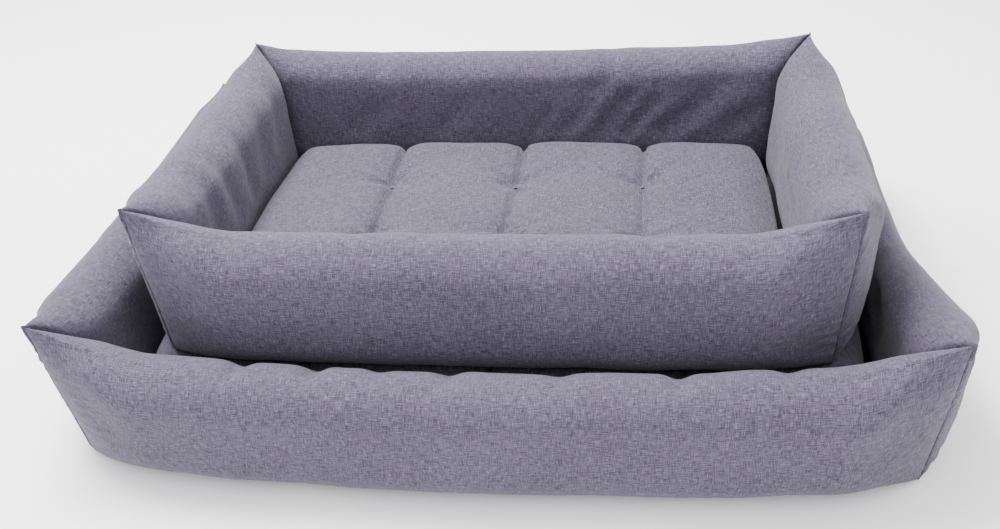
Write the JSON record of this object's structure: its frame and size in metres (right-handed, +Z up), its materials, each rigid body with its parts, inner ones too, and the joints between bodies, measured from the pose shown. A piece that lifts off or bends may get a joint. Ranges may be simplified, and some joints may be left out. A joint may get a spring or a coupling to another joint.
{
  "type": "pet cushion bed",
  "caption": "Nested pair of rectangular pet cushion beds: stuffed bolster walls on four sides with pointed corner ears and a loose tufted mat, the small bed standing inside the large one.",
  "frame": {"origin": "middle of the pair's bounding box, on the floor that the large bed's base panel rests on", "axes": "+X along the long side, +Y from the front bolster to the back bolster, +Z up"},
  "size_m": [1.0958, 0.794, 0.294],
  "materials": {
    "melange_cloth": "matte",
    "base_cloth": "matte",
    "fibre_filling": "matte",
    "tie_thread": "matte"
  },
  "bodies": {
    "large_bed": {"large_base_panel": "base_cloth", "large_front_bolster_cover": "melange_cloth", "large_front_bolster_filling": "fibre_filling", "large_right_bolster_cover": "melange_cloth", "large_right_bolster_filling": "fibre_filling", "large_back_bolster_cover": "melange_cloth", "large_back_bolster_filling": "fibre_filling", "large_left_bolster_cover": "melange_cloth", "large_left_bolster_filling": "fibre_filling", "large_front_left_corner_seam": "melange_cloth", "large_front_right_corner_seam": "melange_cloth", "large_back_right_corner_seam": "melange_cloth", "large_back_left_corner_seam": "melange_cloth"},
    "large_mat": {"large_mat_top_panel": "melange_cloth", "large_mat_bottom_panel": "melange_cloth", "large_mat_filling": "fibre_filling", "large_mat_ties": "tie_thread"},
    "small_bed": {"small_base_panel": "base_cloth", "small_front_bolster_cover": "melange_cloth", "small_front_bolster_filling": "fibre_filling", "small_right_bolster_cover": "melange_cloth", "small_right_bolster_filling": "fibre_filling", "small_back_bolster_cover": "melange_cloth", "small_back_bolster_filling": "fibre_filling", "small_left_bolster_cover": "melange_cloth", "small_left_bolster_filling": "fibre_filling", "small_front_left_corner_seam": "melange_cloth", "small_front_right_corner_seam": "melange_cloth", "small_back_right_corner_seam": "melange_cloth", "small_back_left_corner_seam": "melange_cloth"},
    "small_mat": {"small_mat_top_panel": "melange_cloth", "small_mat_bottom_panel": "melange_cloth", "small_mat_filling": "fibre_filling", "small_mat_ties": "tie_thread"}
  },
  "joints": [
    {"name": "large_mat_lift", "type": "slide", "parent": "large_bed", "child": "large_mat", "axis": [0, 0, 1], "range_m": [0, 0.3]},
    {"name": "small_bed_lift", "type": "slide", "parent": "large_mat", "child": "small_bed", "axis": [0, 0, 1], "range_m": [0, 0.3]},
    {"name": "small_mat_lift", "type": "slide", "parent": "small_bed", "child": "small_mat", "axis": [0, 0, 1], "range_m": [0, 0.3]}
  ]
}
